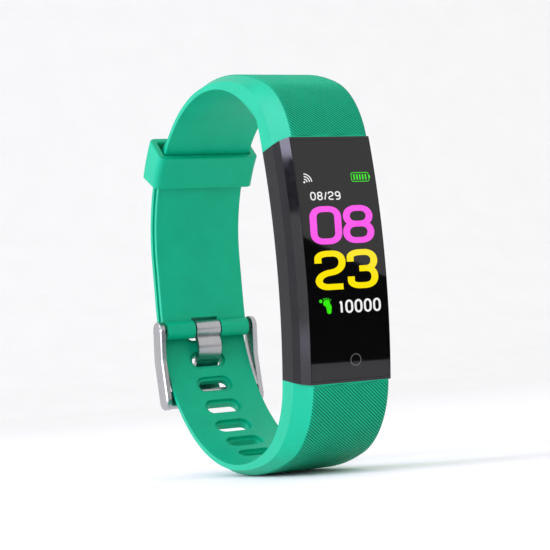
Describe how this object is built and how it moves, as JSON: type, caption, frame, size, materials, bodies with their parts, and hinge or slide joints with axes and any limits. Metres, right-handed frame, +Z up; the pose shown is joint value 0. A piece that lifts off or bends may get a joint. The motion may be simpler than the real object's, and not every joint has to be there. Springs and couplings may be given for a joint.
{
  "type": "fitness tracker band",
  "caption": "Slim smart fitness band, buckled: curved display capsule between two rubber strap halves closed by a pin buckle and a keeper loop, for tracking steps and pulse at the wrist.",
  "frame": {"origin": "centre of the wrist opening, level with the middle of the display", "axes": "+X across the band along the forearm, +Y from the display to the back of the wrist, +Z up along the display"},
  "size_m": [0.02, 0.0599, 0.0683],
  "materials": {
    "strap_green": "satin",
    "shell_black": "satin",
    "bezel_black": "gloss",
    "lens": "gloss",
    "buckle_steel": "brushed",
    "pin_steel": "polished",
    "display_dark": "gloss",
    "adhesive_clear": "gloss",
    "backlight_white": "matte",
    "flex_amber": "satin",
    "copper": "satin",
    "frame_grey": "matte",
    "board_green": "satin",
    "chip_black": "matte",
    "battery_silver": "satin",
    "tape_yellow": "matte",
    "motor_steel": "polished",
    "weight_steel": "satin",
    "led_lens": "gloss",
    "diode_dark": "gloss",
    "window_clear": "gloss",
    "seal_grey": "matte",
    "gold": "polished"
  },
  "bodies": {
    "capsule_and_straps": {"back_cover": "shell_black", "battery_cell": "battery_silver", "battery_tape": "tape_yellow", "bezel_frame": "bezel_black", "board_chips": "chip_black", "capsule_housing": "shell_black", "cover_seal": "seal_grey", "display_adhesive": "adhesive_clear", "display_backlight": "backlight_white", "display_flex": "flex_amber", "display_panel": "display_dark", "inner_frame": "frame_grey", "lens_glass": "lens", "light_baffle": "frame_grey", "lower_strap": "strap_green", "main_board": "board_green", "motor_case": "motor_steel", "photodiode": "diode_dark", "sensor_board": "board_green", "sensor_leds": "led_lens", "sensor_window": "window_clear", "spring_bar_spring": "pin_steel", "spring_bar_tube": "pin_steel", "touch_electrode": "copper", "upper_strap": "strap_green", "usb_contacts": "gold", "usb_tongue": "shell_black"},
    "keeper": {"strap_keeper": "strap_green"},
    "buckle": {"buckle_frame": "buckle_steel"},
    "tongue": {"buckle_tongue": "buckle_steel"},
    "pin_left": {"spring_bar_pin_left": "pin_steel"},
    "pin_right": {"spring_bar_pin_right": "pin_steel"},
    "rotor": {"motor_rotor": "weight_steel"}
  },
  "joints": [
    {"name": "keeper_slide", "type": "hinge", "parent": "capsule_and_straps", "child": "keeper", "pos_m": [0, 0.00561, 0.00579], "axis": [-1, 0, 0], "range_deg": [-8, 14]},
    {"name": "buckle_hinge", "type": "hinge", "parent": "capsule_and_straps", "child": "buckle", "pos_m": [0, 0.03203, -0.00749], "axis": [1, 0, 0], "range_deg": [0, 3.5]},
    {"name": "tongue_hinge", "type": "hinge", "parent": "buckle", "child": "tongue", "pos_m": [0, 0.03203, -0.00749], "axis": [1, 0, 0], "range_deg": [0, 2.5]},
    {"name": "bar_pin_left", "type": "slide", "parent": "capsule_and_straps", "child": "pin_left", "axis": [1, 0, 0], "range_m": [0, 0.00105], "stiffness_N_per_m": 400, "springref_m": -0.001},
    {"name": "bar_pin_right", "type": "slide", "parent": "capsule_and_straps", "child": "pin_right", "axis": [-1, 0, 0], "range_m": [0, 0.00105], "stiffness_N_per_m": 400, "springref_m": -0.001},
    {"name": "motor_spin", "type": "hinge", "parent": "capsule_and_straps", "child": "rotor", "pos_m": [0, -0.0161, 0.013], "axis": [1, 0, 0], "continuous": true}
  ]
}
